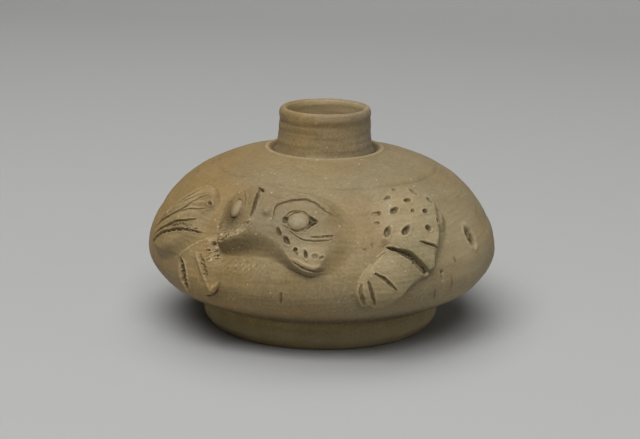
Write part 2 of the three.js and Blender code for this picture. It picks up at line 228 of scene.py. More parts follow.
class Clay:
    """Heights over a stretch of wall, with masks for pooled glaze and painted shade, for worn and sandy edges with
    painted highlights, and for pale glaze.
    """

    def __init__(self, across, up):
        self.across, self.up = across, up
        self.proud = np.zeros_like(across)
        # Darkens pooled glaze, and also carries painted shade in hollows, creases and under overhangs
        self.pool = np.zeros_like(across)
        # Lightens worn and sandy edges, and also carries painted highlights on crests
        self.worn_and_highlight = np.zeros_like(across)
        self.pale = np.zeros_like(across)
        self.hand_across = across + 0.07 * ripple(across, up, 1.9, 5)
        self.hand_up = up + 0.07 * ripple(across, up, 1.9, 6)

    def close_to(self, path, reach):
        """The points within reach of a path, their distances from it and how far along it they lie."""
        u, v = self.hand_across, self.hand_up
        low, high = path.min(axis=0) - reach, path.max(axis=0) + reach
        rows = np.nonzero((u > low[0]) & (u < high[0]) & (v > low[1]) & (v < high[1]))[0]
        distance, along = nearest(path, u[rows], v[rows])
        return rows, np.abs(distance), along

    def beside(self, path):
        """How far each point lies to the left of a path."""
        return nearest(smooth_path(path), self.across, self.up)[0]

    def raise_to(self, rows, mask, values):
        mask[rows] = np.maximum(mask[rows], values)

    def cut(self, path, width, depth, burr=0.12, ragged=0.0, wall=2.0, blunt=0.35, dark=1.0):
        """A stroke of a tool: a trough with tapered ends and a burr along its edges."""
        rows, distance, along = self.close_to(smooth_path(path), 1.5 * width + 0.6)
        taper = blunt + (1 - blunt) * np.sqrt(np.clip(np.sin(math.pi * along), 0, 1))
        half = width / 2 * taper
        trough = np.clip(1 - (distance / half) ** wall, 0, 1)
        rough = 1 + ragged * ripple(self.across[rows], self.up[rows], 0.7, 7)
        self.proud[rows] += burr * taper * bell(distance - 1.25 * half, 0.35 * half + 0.05)
        self.proud[rows] -= depth * taper * trough * rough
        self.raise_to(rows, self.pool, dark * min(1.0, 0.25 + depth) * ease(trough * 1.3) * taper)
        self.raise_to(rows, self.worn_and_highlight, min(1, 4 * burr) * bell(distance - 1.3 * half, 0.3 * half + 0.05) * taper)

    def pit(self, across, up, length, width, degrees, depth, burr=0.1):
        """A dab of a pointed tool, deepest at the end that it was pushed towards."""
        reach = 1.6 * max(length, width)
        rows = np.nonzero(np.hypot(self.across - across, self.up - up) < reach)[0]
        u, v = self.hand_across[rows] - across, self.hand_up[rows] - up
        turn = math.radians(degrees)
        along = (u * math.cos(turn) + v * math.sin(turn)) / (length / 2)
        aside = (v * math.cos(turn) - u * math.sin(turn)) / (width / 2)
        reach = np.hypot(along, aside)
        bowl = np.clip(1 - reach**2.4, 0, 1)
        self.proud[rows] -= depth * bowl * (1 + 0.25 * along)
        self.proud[rows] += burr * bell(reach - 1.22, 0.2)
        self.raise_to(rows, self.pool, min(1.0, 0.2 + depth) * ease(bowl * 1.4))
        self.raise_to(rows, self.worn_and_highlight, min(1, 4 * burr) * bell(reach - 1.25, 0.2))

    def ridge(self, path, width, rise, worn_and_highlight=0.0):
        rows, distance, along = self.close_to(smooth_path(path), 3 * width)
        taper = np.sqrt(np.clip(np.sin(math.pi * (0.08 + 0.84 * along)), 0, 1))
        self.proud[rows] += rise * taper * bell(distance, width)
        self.raise_to(rows, self.worn_and_highlight, worn_and_highlight * taper * bell(distance, 0.8 * width))

    def patch(self, across, up, length, width, degrees):
        turn = math.radians(degrees)
        along = ((self.across - across) * math.cos(turn) + (self.up - up) * math.sin(turn)) / length
        aside = ((self.up - up) * math.cos(turn) - (self.across - across) * math.sin(turn)) / width
        return np.exp(-(along**2) - aside**2)

    def mound(self, *place, rise):
        self.proud += rise * self.patch(*place)

    def shade_patch(self, *place, amount):
        """A soft-edged patch of painted shade: the glaze is coloured dark where hollows, folds and overhangs lie in
        shadow.
        """
        self.pool = np.maximum(self.pool, amount * self.patch(*place))

    def bleach(self, *place, amount):
        """A soft-edged patch where the glaze is thin and pale."""
        self.pale = np.maximum(self.pale, amount * self.patch(*place))

    def crumble(self, *place, amount):
        """A patch of torn, sandy clay."""
        patch = self.patch(*place)
        rough = ripple(self.across, self.up, 0.9, 9) * (1 + ripple(self.across, self.up, 1.7, 12))
        rough = rough + 0.7 * ripple(self.across, self.up, 0.45, 10)
        self.proud += amount * patch * rough
        self.worn_and_highlight = np.maximum(self.worn_and_highlight, 1.5 * patch * np.clip(rough - 0.3, 0, 1))
        self.pool = np.maximum(self.pool, 0.8 * patch * np.clip(-rough - 0.4, 0, 1))

    def grain(self, across, up, size):
        """A pale grain of quartz that stands out of the clay."""
        reach = np.hypot(self.across - across, self.up - up)
        self.proud += 0.5 * size * np.clip(1 - (reach / size) ** 2, 0, 1)
        self.worn_and_highlight = np.maximum(self.worn_and_highlight, 2.2 * np.clip(1.3 - reach / size, 0, 1))


# Meshes


def new_object(mesh):
    piece = bpy.data.objects.new(mesh.name, mesh)
    bpy.context.collection.objects.link(piece)
    return piece


def turned(name, profile, arcs):
    """A closed shell: a grid rolled round the jar's axis along a profile of (radius, height) points."""
    stops = np.concatenate([np.linspace(0, angle, steps, endpoint=False) + start for start, angle, steps in arcs])
    stops = np.append(stops, 2 * math.pi)
    bm = bmesh.new()
    bmesh.ops.create_grid(bm, x_segments=len(stops) - 1, y_segments=len(profile) - 1, size=1)
    mesh = bpy.data.meshes.new(name)
    bm.to_mesh(mesh)
    flat = mesh_points(mesh)
    column = np.rint((flat[:, 0] + 1) / 2 * (len(stops) - 1)).astype(int)
    row = np.rint((flat[:, 1] + 1) / 2 * (len(profile) - 1)).astype(int)
    radius, height = np.array(profile, dtype=float)[row].T
    set_points(mesh, np.stack([radius * np.sin(stops[column]), -radius * np.cos(stops[column]), height], axis=1))
    bm.clear()
    bm.from_mesh(mesh)
    bmesh.ops.remove_doubles(bm, verts=bm.verts, dist=1e-4)
    bmesh.ops.recalc_face_normals(bm, faces=bm.faces)
    bm.to_mesh(mesh)
    bm.free()
    mesh.shade_smooth()
    return mesh


def mesh_points(mesh):
    points = np.empty(len(mesh.vertices) * 3)
    mesh.vertices.foreach_get("co", points)
    return points.reshape(-1, 3)


def set_points(mesh, points):
    mesh.vertices.foreach_set("co", points.ravel())
    mesh.update()


def set_mask(mesh, name, values):
    mask = mesh.attributes.new(name, "FLOAT", "POINT")
    mask.data.foreach_set("value", np.clip(values, 0, 3).astype(np.float32))


def at_share(share, places, column):
    """Values of a closed outline's column at shares of its length."""
    return np.interp(share, places, np.append(column, column[0]))


def pad_mesh(name, turn, base_up, shape, rings, sides):
    """A clay pad: a lens spun flat, drawn out to the pad's outline and laid on the wall with its face worked."""
    shares = 1 - (1 - np.linspace(0, 1, rings + 1)) ** 1.15
    back = [(share, -1.0) for share in np.linspace(1, 0, 9)]
    mesh = turned(name, [(share, 1.0) for share in shares] + back, [(0, 2 * math.pi, sides)])
    flat = mesh_points(mesh)
    share = np.hypot(flat[:, 0], flat[:, 1])
    part = (np.arctan2(flat[:, 0], -flat[:, 1]) / (2 * math.pi)) % 1
    outline = smooth_path(shape["outline"], closed=True, steps=12)
    rim = outline[:, :2]
    lengths = np.hypot(*(np.roll(rim, -1, axis=0) - rim).T)
    places = np.concatenate([[0.0], np.cumsum(lengths)]) / lengths.sum()
    middle = np.array(shape["middle"])
    rim_across = at_share(part, places, rim[:, 0]) - middle[0]
    rim_up = at_share(part, places, rim[:, 1]) - middle[1]
    reach = np.hypot(rim_across, rim_up)
    stretch = share * (reach + PAD_SKIRT) / reach
    across, up = middle[0] + rim_across * stretch, middle[1] + rim_up * stretch
    clay = Clay(across, up)
    inside, along = nearest(rim, across, up, closed=True)
    softness = at_share(along, places, outline[:, 2])
    inward = inside / softness
    crisp = np.clip((3 - softness) / 2.4, 0, 1)
    pillow = np.sqrt(np.clip(1 - (1 - np.clip(inward, 0, 1)) ** 2, 0, 1))
    edge = crisp * pillow + (1 - crisp) * ease(inward)
    clay.proud += shape["rise"](clay) * edge
    for work in shape["marks"]:
        work(clay)
    clay.proud += 0.05 * ripple(across, up, 4.5, 11) * edge
    clay.proud -= SKIRT_DEPTH * np.clip(-inside / PAD_SKIRT, 0, 1) ** 1.5
    is_back = flat[:, 2] < 0
    turns = turn + across / wall_at(base_up + up)[0]
    proud = np.where(is_back, -PAD_BACK, clay.proud + thrown(turns * BELLY_RADIUS, base_up + up))
    set_points(mesh, on_wall(turns, base_up + up, proud))
    set_mask(mesh, "pool", np.where(is_back, 0, clay.pool * ease(inward * 3)))
    set_mask(mesh, "worn_and_highlight", np.where(is_back, 0, clay.worn_and_highlight))
    set_mask(mesh, "pale", np.where(is_back, 0, clay.pale * edge))
    return mesh


# The frog's parts


def dab(work):
    """Holds a mark at one place until there is clay to make it in."""
    return lambda *place, **settings: lambda clay: work(clay, *place, **settings)


def stroke(work):
    """Holds a mark along a path until there is clay to make it in."""
    return lambda *path, **settings: lambda clay: work(clay, path, **settings)


cut, ridge = stroke(Clay.cut), stroke(Clay.ridge)
pit, grain, mound = dab(Clay.pit), dab(Clay.grain), dab(Clay.mound)
shade_patch, bleach, crumble = dab(Clay.shade_patch), dab(Clay.bleach), dab(Clay.crumble)

RIGHT_EYE = (3.1, -0.8)
RIGHT_EYE_RADII = (2.7, 2.3)
LEFT_EYE = (-13.9, 0.9)
LEFT_EYE_RADII = (1.35, 2.4)


def ring(centre, across, up, turns=16):
    return [
        (centre[0] + across * math.cos(2 * math.pi * i / turns), centre[1] + up * math.sin(2 * math.pi * i / turns))
        for i in range(turns + 1)
    ]


SNOUT = [(-9.5, 11), (-8.9, 5), (-8.8, 0), (-10.2, -3.6), (-13, -6), (-17, -7.8)]


def head_rise(clay):
    """A broad cushion with the snout's ridge running down from the brow, left of the right eye."""
    right = clay.beside(SNOUT)
    side = np.where(right > 0, 4.5, 5.0)
    hollow = np.exp(-(((clay.across + 17) / 3.6) ** 2) - ((clay.up + 2.6) / 2.8) ** 2)
    fading = 1.3 * ease((clay.across - 5) / 13) + ease((-15 - clay.across) / 5) * ease((clay.up + 4) / 5)
    return 2.7 + 1.3 * bell(right, side) - 1.2 * hollow - fading


HEAD_SHAPE = {
    "outline": [
        (19, -2, 8), (16.4, 3.4, 8), (12.4, 7.4, 5), (6, 10.2, 4), (0, 11.4, 3), (-5, 11.6, 2.6), (-9.5, 10.4, 2.2),
        (-14, 9, 2.6), (-18, 7.3, 3.4), (-20.6, 3.5, 4.4), (-21, -2, 3.8), (-19.6, -7, 2.4), (-18.2, -9.8, 1.8),
        (-15, -11, 3.6), (-11, -10.7, 5), (-7.2, -10.4, 6), (-3.2, -10.8, 5), (0.4, -12, 3), (3.6, -13, 1.6),
        (8, -14.2, 1.6), (12, -14.2, 5), (16.2, -12, 8), (19, -7.5, 8),
    ],
    "middle": (-3, 0),
    "rise": head_rise,
    "marks": [
        mound(*RIGHT_EYE, 5.4, 4.4, 0, rise=0.6),
        mound(*LEFT_EYE, 2.0, 3.8, 0, rise=0.5),
        mound(-5.4, 0.8, 1.1, 0.9, 0, rise=0.5),
        # Painted shade: broadly over the head, in the hollow under the left eye, and under and beside the snout
        shade_patch(-4, -1, 15, 10, 0, amount=0.4), shade_patch(-15, -2, 4.8, 3.6, 30, amount=1.1),
        shade_patch(-10.5, -7.8, 5.5, 2.4, 15, amount=0.75), shade_patch(-9.5, -3.4, 3, 2, 30, amount=0.6),
        bleach(7, -8, 5, 4, -10, amount=0.45),
        # Painted shade in the fold at the jaw's corner
        shade_patch(-16.8, -8.2, 2.4, 1.6, 30, amount=0.45), crumble(-15.6, -6.6, 4.2, 1.9, 28, amount=0.16),
        crumble(-10.6, -3.6, 2.4, 1.2, 40, amount=0.1), crumble(-18.8, -4.6, 1.6, 3.2, 10, amount=0.12),
        cut(*ring(RIGHT_EYE, 2.6, 2.4), width=0.6, depth=0.3, burr=0.03, blunt=1, dark=0.5),
        cut(*ring(LEFT_EYE, 1.45, 2.55), width=0.6, depth=0.35, burr=0.06, blunt=1, dark=0.6),
        cut((-1.2, -1), (0.3, 1.3), (1.6, 2), (3, 2.1), (4.4, 1.6), (5.6, 0.7), (8, -0.5), width=0.5, depth=0.35,
            burr=0.1, dark=0.6),
        cut((-0.6, -2), (1.2, -2.9), (3.4, -3.4), (5.6, -3.2), width=0.5, depth=0.3, burr=0.1, dark=0.6),
        pit(-0.2, -0.6, 2.0, 1.9, 60, 1.1, burr=0.06),
        cut((5.4, 0.6), (6.6, 0.1), (7.9, -0.5), width=0.9, depth=0.8),
        cut((5.6, -2.9), (6.3, -1.7), (7.9, -0.6), width=0.9, depth=0.8, ragged=0.3),
        pit(6.1, -0.7, 2.6, 1.9, -20, 1.2, burr=0),
        ridge((-5.2, 0.9), (-4.6, 2.7), (-3.3, 4.5), (-0.6, 6.1), (1.8, 7.0), (4.8, 6.6), (8.4, 4.6), (12, 2.6),
              width=0.8, rise=0.45, worn_and_highlight=0.3),
        cut((-3.3, -0.8), (-3.5, 1.1), (-3.4, 2.7), (-2.2, 3.9), (-0.6, 4.8), (0.9, 5.4), (3, 5.7), (4.9, 5.2),
            (6.6, 4.5), (8.7, 3), (10.2, 2.2), (11.6, 1.6), width=0.7, depth=0.5, dark=0.55),
        cut((-6.6, 8.6), (-4.8, 9.4), (-2.9, 9.4), (-1.2, 9.2), (1.6, 8.3), (4.4, 7.7), (8.1, 6.2), (12.6, 3.8),
            width=0.9, depth=0.45, burr=0.08, dark=0.5),
        cut((1.2, -3.5), (3.5, -4.8), (5.3, -5.5), (7.6, -5.6), (10, -5.4), (12.4, -4.8), width=0.6, depth=0.35,
            dark=0.6),
        cut((6.8, -4.6), (9.4, -4.4), (12.5, -3.8), width=0.8, depth=0.4, ragged=0.7, dark=0.6),
        pit(-1.4, -3.8, 2.5, 1.2, -61, 0.8), pit(0.9, -5.8, 2.9, 1.4, -54, 0.9), pit(3.4, -8, 1.3, 1.2, -70, 0.9),
        cut((3.6, -8.4), (4.2, -9.6), width=0.6, depth=0.5),
        pit(6.2, -9.1, 2.4, 1.0, -72, 0.9, burr=0.2), pit(8.5, -9.5, 1.7, 1.6, 0, 0.35, burr=0.12),
        pit(10.3, -9.7, 1.3, 1.1, 20, 0.3, burr=0.16),
        ridge((3.4, -10.5), (6.5, -11.7), (8.6, -12.1), (11, -11.9), width=0.4, rise=0.25, worn_and_highlight=0.6),
        cut((3.2, -10.9), (4, -11.5), (6.5, -12.6), (8.6, -13), (10.9, -12.8), width=0.7, depth=0.5, burr=0.05),
        cut((-9.2, 7.4), (-8.2, 6.8), (-7.4, 6.3), width=1.2, depth=0.9, burr=0.2),
        cut((-8.8, 6.6), (-8.8, 4), (-8.9, 2.2), (-9, 0.7), (-9.3, -1.2), width=1.3, depth=1.2, burr=0.14),
        cut((-13.6, 6.6), (-12.6, 4.7), (-12, 3.6), (-11.8, 1.9), (-11.8, 0.4), (-12.4, -0.6), width=0.7, depth=0.45,
            dark=0.7),
        ridge((-8.8, -2.6), (-10.2, -4.3), (-11.8, -5.6), (-13.6, -6.7), (-15.8, -7.6), width=0.9, rise=0.4,
              worn_and_highlight=1.1),
        cut((-9.0, -2.2), (-9.8, -2.8), (-9.9, -3.8), width=0.5, depth=0.3, ragged=0.8),
        cut((-14.4, -6.2), (-15.6, -7.6), (-17.4, -8.4), width=0.7, depth=0.4, ragged=0.8),
        grain(-16.6, -6.6, 0.5), grain(-11.2, -4.6, 0.3), grain(-9.2, -1.8, 0.28),
    ],
}

DOTTED_LEG_SHAPE = {
    "outline": [
        (13.4, -3.6, 2.4), (13.2, -0.5, 1.6), (11.2, 3, 1.2), (8.2, 6.2, 1), (4.6, 8.8, 1), (0.5, 10.2, 1.6),
        (-3.6, 9.6, 3), (-7, 7.2, 5), (-10, 3, 6), (-11.6, -2.6, 6), (-11, -6.8, 4), (-8.6, -7.8, 1.6),
        (-6.2, -9, 0.6), (-4.1, -9.7, 0.5), (-2.4, -10.7, 0.5), (-0.6, -12.7, 0.5), (1, -14.6, 0.5), (2, -15.6, 0.8),
        (4.8, -15.6, 2.4), (8, -12, 4), (11.6, -7.6, 4),
    ],
    "middle": (1, -1.5),
    "rise": lambda clay: (0.3 + 0.7 * ease((clay.across + 11.5) / 9)) * (
        0.9 + 1.3 * ease(clay.beside([(4, -16), (7.4, -9.6), (8.6, -5), (10, -1), (11, 3)]) / 2.6 + 0.5)
    ),
    "marks": [
        bleach(0, 0, 11, 9, 0, amount=0.4), bleach(6, -8, 5, 5, 0, amount=0.5),
        pit(-3.6, 1.4, 2.9, 1.7, 19, 0.9), pit(-2.6, -4.5, 3.5, 1.9, 35, 1.0), pit(-7.5, -4.1, 3.5, 1.6, 58, 0.9),
        pit(5.0, 6.1, 3.4, 1.6, -60, 0.5), pit(8.7, 2.5, 2.8, 1.2, -58, 0.5), pit(1.6, 3.8, 2.5, 1.4, 0, 0.8),
        pit(-3.6, 5.7, 2.1, 1.3, 10, 0.7), pit(-0.3, 7.9, 1.6, 1.2, 0, 0.35, burr=0.15),
        pit(4.4, -4.8, 2.2, 1.8, -35, 1.0),
        pit(5.6, -0.1, 2.1, 1.4, -5, 0.9), pit(1.7, 0.6, 1.6, 1.1, 0, 0.6), pit(8.5, -3.4, 1.6, 1.3, -60, 0.5),
        pit(-8.0, 1.9, 2.4, 1.5, 0, 0.8), pit(-9.0, -0.9, 1.6, 1.2, 0, 0.5),
        cut((0.3, -7.7), (2.3, -8.6), (6.4, -10.4), width=0.9, depth=0.7, burr=0.2),
    ],
}

RIBBED_LEG_SHAPE = {
    "outline": [
        (10.5, -4, 5), (10, 0, 5), (9, 3.6, 2.6), (7, 6.8, 1.2), (3.4, 9, 1), (-0.8, 8.6, 1.4),
        (-5, 4.6, 1.5), (-8.6, -0.4, 1.5), (-11.6, -6, 1.5), (-13, -10.4, 2), (-11, -14, 3.5), (-4.6, -15.4, 4),
        (2, -13.4, 4), (5.5, -10.4, 4), (8.5, -7.6, 4),
    ],
    "middle": (-2.5, -3),
    "rise": lambda clay: 2.0 - 1.2 * ease((clay.across - 1) / 8) * ease((5 - clay.up) / 5),
    "marks": [
        bleach(0, 3, 6, 5, 30, amount=0.3),
        ridge((-8.4, -5.4), (-5.2, -0.4), (-2, 4.4), (0.6, 7.6), width=0.8, rise=0.45),
        ridge((-7, -4.4), (-3, 0.4), (0.6, 5), (3.4, 7), width=0.7, rise=0.45),
        ridge((-9.6, -6.8), (-4.6, -2), (0, 2.4), (3.4, 5.2), (6.4, 6.2), width=0.9, rise=0.5),
        ridge((-9.2, -9), (-4.4, -5.2), (0.6, -1.6), (5.6, 1), width=1.4, rise=0.45),
        cut((-6.4, -2.4), (-4.3, 0.3), (-2.6, 2.6), (-1, 4.7), (0.3, 6.6), (1.9, 7.9), width=0.45, depth=0.35,
            dark=0.5),
        cut((-5.4, -1.9), (-1.9, 1.4), (1, 4.3), (3.2, 5.6), (5.8, 6.3), width=0.5, depth=0.4, dark=0.5),
        cut((-10.6, -8.8), (-7.5, -5.9), (-4.6, -3.5), (-1.2, -0.5), (0.9, 1.9), (3, 4.4), (5.2, 5.4), width=0.6,
            depth=0.45, dark=0.6),
        cut((-8.6, -9.6), (-7.2, -8.6), (-4, -6.5), (-1.6, -4.8), (-0.1, -3.9), (1.9, -3.1), (5.6, -1.3), width=0.8,
            depth=0.6, dark=0.7),
        ridge((0, 1.4), (3.5, 2.8), (6.6, 3.6), width=0.6, rise=0.35),
        cut((-2.4, -2), (1.2, 0.1), (4.2, 1.1), (7.2, 2.4), width=0.6, depth=0.4, dark=0.6),
        cut((-10.2, -12.8), (-9, -11.6), (-5.3, -8.8), (-1.8, -7.2), (0.6, -6.2), (2.8, -5.5), (5, -4.9), (9.8, -4.2),
            width=1.0, depth=0.75, ragged=0.5, dark=0.9),
        cut((-1.6, -5.9), (1, -4.6), (3.4, -3.8), (5.6, -3.6), width=1.0, depth=0.35, ragged=0.9, burr=0.04,
            dark=0.7),
        # Painted shade along the deep cut low on the leg
        shade_patch(2.4, -4.7, 3.4, 1.1, 22, amount=0.55), crumble(5.4, -4.5, 4.4, 1.1, 12, amount=0.16),
        pit(7.0, 3.6, 1.2, 1.1, 0, 0.7, burr=0.35),
    ],
}

RIGHT_FOOT_SHAPE = {
    "outline": [
        (12, -0.8, 0.8), (11, 2.2, 1), (8.6, 5.2, 1), (5, 7.8, 1), (1, 9, 1), (-1.4, 6.8, 1), (-2.8, 5.6, 1),
        (-4.8, 3.9, 1.4), (-6.8, 2.2, 2), (-8.6, -0.4, 2.2), (-9.3, -3.4, 1.6), (-8.6, -6.4, 1.2), (-7.2, -7.8, 0.9),
        (-5.4, -7.6, 0.9), (-3.6, -8.6, 1), (-0.6, -9, 1.8), (1.9, -7.4, 1.8), (4, -5.2, 1.4), (6.8, -3, 1.6),
        (9.8, -1.9, 1.6),
    ],
    "middle": (0, -0.5),
    "rise": lambda clay: 1.2 + 1.1 * np.exp(-((clay.across - 1.5) ** 2 + (clay.up - 0.5) ** 2) / 42),
    "marks": [
        bleach(-1, -1.5, 7, 6, -35, amount=0.42),
        cut((0.0, 7.6), (2.6, 6.5), (4.8, 5.7), width=1.1, depth=1.3, ragged=0.3, wall=3, blunt=0.6),
        cut((3.4, 6.2), (5.2, 5.2), (6.6, 4.2), (8.4, 2.3), (10.3, 0.1), width=2.2, depth=1.8, ragged=0.35, wall=4,
            blunt=0.75),
        crumble(7.4, 3.2, 3.4, 0.9, -48, amount=0.2), crumble(1.6, 7, 2.2, 0.7, -20, amount=0.14),
        cut((-5.4, 3), (-4.4, 4), (-2.8, 5.3), (-0.6, 6.5), width=0.7, depth=0.5, dark=0.8),
        cut((-4.5, 1.3), (-2.2, -0.1), (-0.6, -1.5), (1.4, -3.3), width=1.0, depth=0.8, ragged=0.15, burr=0.16,
            dark=0.8),
        cut((-7.8, -1.3), (-8.0, -3.6), (-6.6, -7.2), width=1.3, depth=0.7, burr=0.14, dark=0.7),
        cut((-6.1, -0.6), (-5.1, -3.7), (-3.8, -7.2), width=1.1, depth=0.8, burr=0.14, dark=0.8),
        cut((4.8, -3.6), (3.3, -6.3), width=1.0, depth=0.9),
        grain(9.4, -0.2, 0.45), grain(8.2, 1.0, 0.35), grain(9.9, 0.6, 0.3), grain(-4.6, 1.5, 0.25),
    ],
}

LEFT_FOOT_SHAPE = {
    "outline": [
        (8.9, -1, 4), (8.2, 2.6, 4.5), (5.8, 5.6, 3.5), (3.4, 7.8, 2), (0.8, 7.7, 1.2), (-0.9, 6.5, 0.8),
        (-3.2, 4.7, 0.8), (-6.4, 2.1, 0.9), (-7.7, -0.6, 1), (-7.4, -4, 1.4), (-6, -6.8, 1.4), (-4, -8, 0.8),
        (-1.2, -8.3, 0.8), (1.6, -8.2, 0.8), (4.4, -8.0, 0.8), (6.6, -6.6, 1), (8, -4.2, 3),
    ],
    "middle": (0, -0.3),
    "rise": lambda clay: 1.8 - 0.9 * ease((clay.across - 3) / 6) * ease((clay.up + 6) / 4),
    "marks": [
        ridge((-6.3, 1.2), (-3.2, 3.9), (-1.2, 5.5), (1.4, 7), width=0.6, rise=0.3, worn_and_highlight=1.1),
        cut((-5.8, 0.6), (-4.7, -1.3), (-3.7, -4.2), (-2.7, -7.6), width=2.3, depth=1.3, ragged=0.5, burr=0.28,
            wall=1.8, blunt=0.2),
        crumble(-3.9, -3.6, 3.2, 0.8, -70, amount=0.2),
        cut((1.0, 2.4), (2.4, 0.8), (3.6, -1.0), (4.3, -2.8), width=1.7, depth=0.5, ragged=0.6, burr=0.05, dark=0.5,
            blunt=0.5),
        ridge((-0.5, 2.6), (1.2, 0.8), (2.4, -0.9), (3.8, -3.2), (5.5, -5.5), width=0.45, rise=0.4, worn_and_highlight=0.6),
        ridge((5.4, -5.5), (6.4, -4.6), (7.3, -3.5), width=0.45, rise=0.35, worn_and_highlight=0.5),
        cut((7.9, -4), (7.3, -5.6), (5.8, -6.9), (3.6, -7.4), width=1.3, depth=1.0, burr=0.06),
        cut((-1.8, -8), (0.6, -7.9), (3.6, -7.7), width=1.0, depth=0.4, burr=0.05, dark=0.7),
        crumble(4.4, 4.2, 2.2, 3.4, 10, amount=0.12), pit(3.6, 6.2, 1.5, 1.0, -60, 0.9),
        pit(5.8, 3.4, 0.8, 0.7, 0, 0.6), pit(3.2, 4.2, 0.7, 0.6, 0, 0.5), grain(4.6, 5.4, 0.55),
        grain(4.8, 2.0, 0.3), grain(2.2, 6.6, 0.3),
    ],
}

HEAD_RINGS, HEAD_SIDES = 120, 480
LEG_RINGS, LEG_SIDES = 90, 380
FOOT_RINGS, FOOT_SIDES = 72, 320
HIND_RINGS, HIND_SIDES = 60, 280


def pads():
    """Each pad's node, angle round the jar, place up the wall, shape, rings and sides."""
    fore = [
        ("frog_head", HEAD, HEAD_SHAPE, HEAD_RINGS, HEAD_SIDES),
        ("fore_leg_right", RIGHT_LEG, DOTTED_LEG_SHAPE, LEG_RINGS, LEG_SIDES),
        ("fore_leg_left", LEFT_LEG, RIBBED_LEG_SHAPE, LEG_RINGS, LEG_SIDES),
        ("fore_foot_right", RIGHT_FOOT, RIGHT_FOOT_SHAPE, FOOT_RINGS, FOOT_SIDES),
        ("fore_foot_left", LEFT_FOOT, LEFT_FOOT_SHAPE, FOOT_RINGS, FOOT_SIDES),
    ]
    hind = [
        ("hind_leg_right", HIND_LEG, 1, DOTTED_LEG_SHAPE),
        ("hind_leg_left", HIND_LEG, -1, RIBBED_LEG_SHAPE),
        ("hind_foot_right", HIND_RIGHT_FOOT, 1, RIGHT_FOOT_SHAPE),
        ("hind_foot_left", HIND_LEFT_FOOT, -1, LEFT_FOOT_SHAPE),
    ]
    for node, (across, up), shape, rings, sides in fore:
        yield node, front_turn(across), up, shape, rings, sides
    for node, (across, up), side, shape in hind:
        yield node, back_turn(across, side), up, shape, HIND_RINGS, HIND_SIDES


def eye_mesh(name, centre, radii, bulge, proud):
    """A clay ball pressed flat, seated in its socket."""
    bm = bmesh.new()
    bmesh.ops.create_uvsphere(bm, u_segments=64, v_segments=40, radius=1)
    mesh = bpy.data.meshes.new(name)
    bm.to_mesh(mesh)
    bm.free()
    mesh.shade_smooth()
    ball = mesh_points(mesh)
    across = centre[0] + ball[:, 0] * radii[0]
    up = centre[1] + ball[:, 1] * radii[1]
    radius = wall_at(HEAD[1] + centre[1])[0]
    set_points(mesh, on_wall(front_turn(HEAD[0]) + across / radius, HEAD[1] + up, proud + ball[:, 2] * bulge))
    set_mask(mesh, "pool", np.zeros(len(ball)))
    set_mask(mesh, "worn_and_highlight", 0.15 * np.clip(ball[:, 2], 0, 1))
    return mesh


# The jar


def rounded(points, steps=6):
    return [tuple(point) for point in smooth_path(points, steps=steps)]


# How far up the wall the curb begins, read from the upper half of the curve
UPPER_HALF = slice(WALL_STEPS // 2, None)
SHOULDER_TOP = float(np.interp(-SHOULDER_RADIUS, -WALL_CURVE[1][UPPER_HALF], WALL_CURVE[0][UPPER_HALF]))


def body_profile():
    """From the middle of the base, out and up the belly to the neck's seat, down the bore and back to the floor."""
    low = up_of_height(8.9)
    ups = np.concatenate([np.arange(low, -12, 0.9), np.arange(-12, 26, 0.42), np.arange(26, SHOULDER_TOP, 0.55)])
    radius, height, _, _ = wall_at(np.append(ups, SHOULDER_TOP))
    outer = list(zip(radius, height))
    curb = rounded([
        outer[-1], (17.5, 49.95), (17.0, 50.28), (16.4, 50.42), (15.85, 50.3), (15.4, 49.95), (15.1, 49.6),
        (TROUGH_RADIUS, NECK_SEAT),
    ], 4)
    latitudes = np.linspace(math.acos(BORE_RADIUS / (BELLY_RADIUS - WALL)), 0, 14)
    inner = [
        ((BELLY_RADIUS - WALL) * math.cos(angle), BELLY_LINE + (SHOULDER_RISE - WALL) * math.sin(angle))
        for angle in latitudes
    ] + [(45.4, 19.2), (43.2, 16.0), (39.5, 13.6), (36, FLOOR_HEIGHT)]
    base = [(0.0, BASE_HEIGHT), (18.0, BASE_HEIGHT), (34.6, BASE_HEIGHT)]
    floor = [(24.0, FLOOR_HEIGHT), (12.0, FLOOR_HEIGHT), (0.0, FLOOR_HEIGHT)]
    return base + outer + curb[1:] + [(BORE_RADIUS, 49.2)] + inner + floor


# Start, angle and steps of each stretch of the body's grid, finest where the relief is
BODY_ARCS = [
    (math.radians(start), math.radians(angle), steps)
    for start, angle, steps in ((0, 110, 270), (110, 175, 78), (285, 75, 180))
]


def thrown(around, up):
    """Throwing rings and the slow unevenness of the thrown wall."""
    rings = 0.07 * ripple(up, around * 0.06, 5.5, 21) + 0.03 * ripple(up, around * 0.08, 1.7, 22)
    return rings + 0.12 * ripple(around, up, 24, 23)


